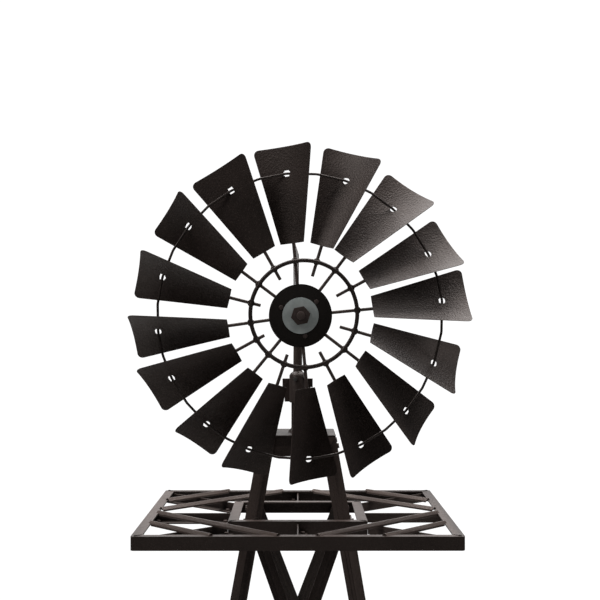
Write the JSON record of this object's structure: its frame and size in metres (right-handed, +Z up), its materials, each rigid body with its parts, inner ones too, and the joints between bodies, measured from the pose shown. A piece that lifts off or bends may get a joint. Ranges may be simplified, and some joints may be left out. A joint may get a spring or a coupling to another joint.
{
  "type": "garden windmill",
  "caption": "Ornamental garden windmill: a splayed lattice tower with a square deck carries a turning head with a tail vane and a multi-blade wheel that spins on its axle.",
  "frame": {"origin": "on the ground at the centre of the tower's four feet", "axes": "+Z up the tower, wheel towards -Y, +X to the right when facing the wheel"},
  "size_m": [0.837, 1.1785, 2.4604],
  "materials": {
    "frame_bronze": "hammered dark bronze powder coat, satin",
    "blade_bronze": "hammered dark bronze powder coat with brown highlights",
    "slat_bronze": "hammered dark bronze powder coat, satin",
    "disc_black": "near-black paint, low sheen",
    "zinc": "dull zinc plate with a green-grey tone",
    "bolt_bronze": "dark bronze coated steel",
    "screw_steel": "dull plated steel",
    "bearing_steel": "ground bearing steel",
    "thrust_bronze": "plain bearing bronze"
  },
  "bodies": {
    "tower": {"leg_front_right": "frame_bronze", "leg_rear_right": "frame_bronze", "leg_rear_left": "frame_bronze", "leg_front_left": "frame_bronze", "foot_plates": "frame_bronze", "upper_braces": "frame_bronze", "lower_braces": "frame_bronze", "girts": "frame_bronze", "top_cap": "frame_bronze", "tower_bolts": "bolt_bronze", "deck_rail_front": "frame_bronze", "deck_rail_right": "frame_bronze", "deck_rail_rear": "frame_bronze", "deck_rail_left": "frame_bronze", "inner_frame": "frame_bronze", "hip_bars": "frame_bronze", "mid_joists": "frame_bronze", "deck_slats": "slat_bronze", "deck_bolts": "bolt_bronze", "mast": "frame_bronze", "mast_collar": "frame_bronze", "thrust_washer": "thrust_bronze"},
    "head": {"swivel_sleeve": "frame_bronze", "sleeve_screws": "screw_steel", "head_post": "frame_bronze", "axle_housing": "frame_bronze", "axle_bearings": "bearing_steel", "housing_cap": "frame_bronze", "tail_boom": "frame_bronze", "tail_bracket": "frame_bronze", "tail_stay": "frame_bronze", "tail_vane": "blade_bronze", "tail_bolts": "bolt_bronze"},
    "wheel": {"axle": "bolt_bronze", "shaft_collar": "bearing_steel", "hub_boss": "disc_black", "hub_disc": "disc_black", "hub_washer": "zinc", "axle_nut": "bolt_bronze", "disc_screws": "bolt_bronze", "inner_ring": "frame_bronze", "outer_ring": "frame_bronze", "long_spokes": "frame_bronze", "short_spokes": "frame_bronze", "blade_01": "blade_bronze", "blade_02": "blade_bronze", "blade_03": "blade_bronze", "blade_04": "blade_bronze", "blade_05": "blade_bronze", "blade_06": "blade_bronze", "blade_07": "blade_bronze", "blade_08": "blade_bronze", "blade_09": "blade_bronze", "blade_10": "blade_bronze", "blade_11": "blade_bronze", "blade_12": "blade_bronze", "blade_13": "blade_bronze", "blade_14": "blade_bronze", "blade_15": "blade_bronze", "blade_16": "blade_bronze"}
  },
  "joints": [
    {"name": "head_yaw", "type": "hinge", "parent": "tower", "child": "head", "pos_m": [0, 0, 1.98], "axis": [0, 0, 1], "continuous": true},
    {"name": "wheel_spin", "type": "hinge", "parent": "head", "child": "wheel", "pos_m": [0.00503, -0.17993, 2.13], "axis": [0.0279, -0.9996, 0], "continuous": true}
  ]
}
